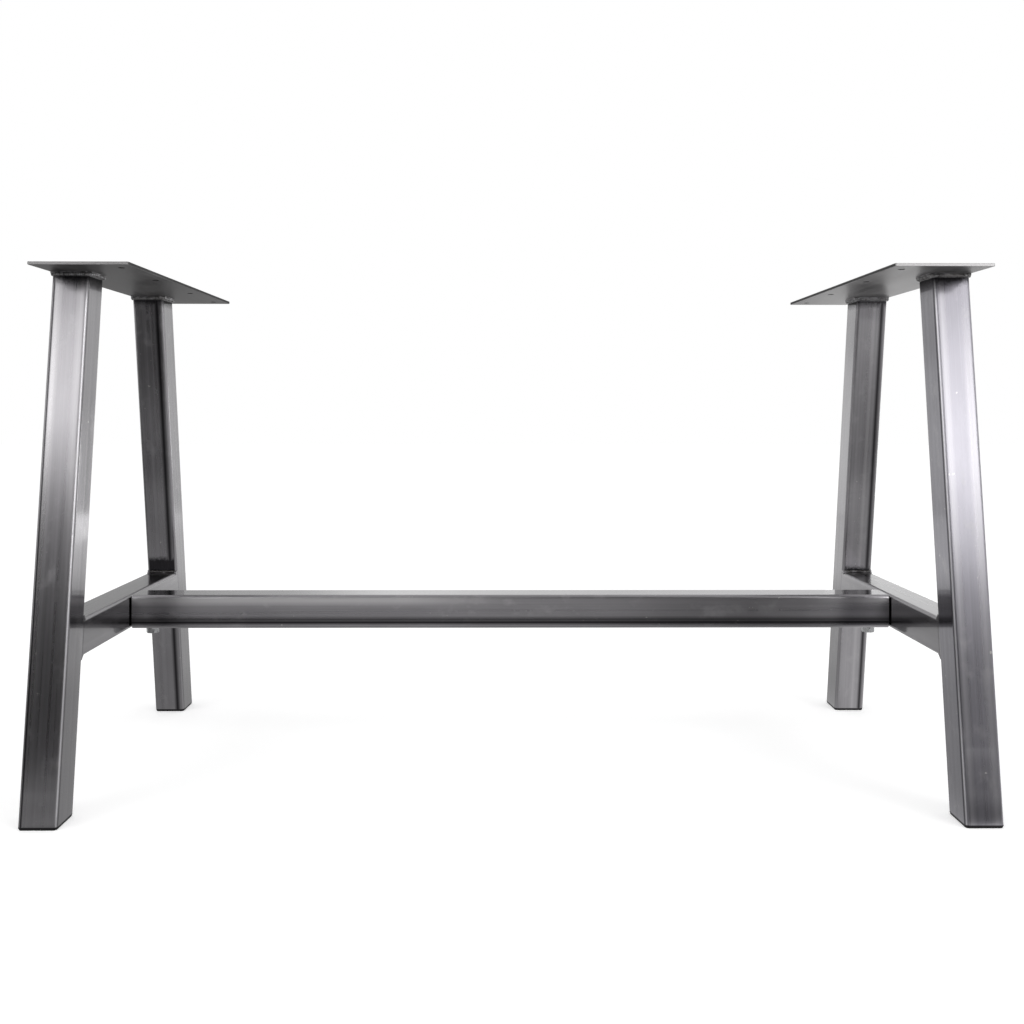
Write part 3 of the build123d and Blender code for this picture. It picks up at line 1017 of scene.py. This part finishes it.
front_wall, rear_wall = -3.2, 3.6
card_bottom, card_top = -0.2, 3.8
front_span, rear_span = (-4, 4), (-6, 6)
cards_meet = -0.32                                 # where the two cards on the floor meet, before the feet
print("the room is", rear_wall - front_wall, "m deep")

# %% [markdown]
# ## Cards in front
# The front legs lean back, so their fronts mirror a standing card: its upper part near the heads and its
# lower part near the feet. The beam's upright front and the rear legs, which lean towards the camera,
# mirror the card on the floor. Each stop is a place along the card, as a share of it, and a brightness.

# %% Cards in front
card(
    "front card", standing(front_span, front_wall, card_bottom, card_top), "Z",
    at_left=[
        (0.0, 0.02), (0.18, 0.12), (0.27, 0.28), (0.31, 0.70), (0.36, 2.2),
        (0.41, 4.0), (0.46, 3.5), (0.50, 3.1), (0.545, 1.7), (1.0, 1.0),
    ],
    at_right=[
        (0.0, 0.40), (0.12, 0.62), (0.20, 1.3), (0.28, 4.0), (0.36, 5.9),
        (0.45, 5.2), (0.50, 4.3), (0.545, 2.9), (1.0, 1.6),
    ],
    across=[
        (0.0, 1.0), (0.30, 1.0), (0.40, 0.45), (0.46, 0.42), (0.52, 0.22), (0.57, 0.04),
        (0.62, 0.04), (0.66, 0.10), (0.70, 0.8), (0.715, 1.0), (1.0, 1.0),
    ],
)
card(
    "floor card", lying(front_span, front_wall, cards_meet), "Y",
    at_left=[
        (0.0, 0.14), (0.35, 0.30), (0.60, 1.6), (0.675, 1.8), (0.70, 0.60),
        (0.77, 0.50), (0.82, 1.25), (0.90, 0.8), (1.0, 1.0),
    ],
    at_right=[
        (0.0, 2.0), (0.20, 1.4), (0.35, 0.75), (0.50, 0.55), (0.62, 0.55),
        (0.675, 0.55), (0.72, 0.32), (0.77, 0.35), (0.82, 0.95), (1.0, 0.85),
    ],
    across=[
        (0.0, 0.12), (0.365, 0.12), (0.378, 0.5), (0.385, 0.75), (0.40, 0.70), (0.4125, 0.60), (0.44, 1.0),
        (0.52, 1.0), (0.56, 0.6), (0.5875, 0.25), (0.605, 0.8), (0.62, 1.0), (1.0, 1.0),
    ],
)
print("cards so far:", [thing.name for thing in bpy.data.objects if thing.name.endswith("card")])

# %% [markdown]
# ## Cards at the rear
# The tubes' side faces are seen at a slant, and mirror what stands behind the base and lies on the floor
# there. The left and the right part of the room are dimmer than its middle. A small card low at the right
# brightens the side faces that look that way.

# %% Cards at the rear
card(
    "rear card", standing(rear_span, rear_wall, card_bottom, card_top), "Z",
    at_left=[(0.0, 1.1), (0.15, 1.35), (0.22, 1.25), (0.27, 1.0), (0.4, 1.0), (1.0, 1.1)],
    at_right=[(0.0, 1.0), (0.15, 1.05), (0.27, 1.2), (0.4, 1.2), (1.0, 1.3)],
    across=[(0.0, 0.44), (0.34, 0.46), (0.40, 0.62), (0.455, 1.0), (0.52, 0.85), (0.56, 0.78), (1.0, 0.82)],
)
card(
    "rear floor card", lying(rear_span, cards_meet, rear_wall), "Y",
    at_left=[(0.0, 1.05), (0.15, 1.1), (0.25, 1.35), (0.40, 1.4), (0.55, 1.9), (0.9, 1.9), (1.0, 1.6)],
    at_right=[(0.0, 1.10), (0.15, 1.1), (0.25, 1.3), (0.40, 1.4), (0.55, 2.1), (1.0, 2.2)],
    across=[(0.0, 0.5), (0.545, 0.5), (0.551, 1.0), (0.60, 1.0), (0.62, 0.55), (1.0, 0.55)],
)
low_glow = [(0.0, 4.0), (1.0, 3.5)]
card(
    "low rear card", standing((1.6, 3.4), rear_wall - 0.05, 0.0, 0.55), "Z",
    at_left=low_glow, at_right=low_glow, across=[(0.0, 1.0), (1.0, 1.0)],
)
print("cards in all:", len([thing for thing in bpy.data.objects if thing.name.endswith("card")]))

# %% [markdown]
# ## Lamps
# Two large soft boxes hang high in front, to the left and the right. They do what the cards can't: they
# light the matt parts and the floor, and cast the soft shadows. They stand far out to the sides, as a lamp
# nearer the middle would show as a bright patch on the beam.

# %% Lamps
box_width, box_height = 1.6, 1.2
box_aim = Vector((0, 0, 0.3))


def soft_box(name, place, power):
    """a lamp with a large face, which points at the middle of the base"""
    lamp = bpy.data.lights.new(name, "AREA")
    lamp.shape = "RECTANGLE"
    lamp.size, lamp.size_y = box_width, box_height
    lamp.energy = power
    body = bpy.data.objects.new(name, lamp)
    body.location = place
    body.rotation_euler = (box_aim - Vector(place)).to_track_quat("-Z", "Y").to_euler()
    bpy.context.scene.collection.objects.link(body)
    body.visible_camera = False
    return body


soft_box("soft box right", (2.5, -2.2, 2.6), 24)
soft_box("soft box left", (-2.5, -2.0, 2.6), 13)
print("lamps:", len(bpy.data.lights))

# %% [markdown]
# ## Finish
# The box of the dressed model has to stay that of the CAD model.
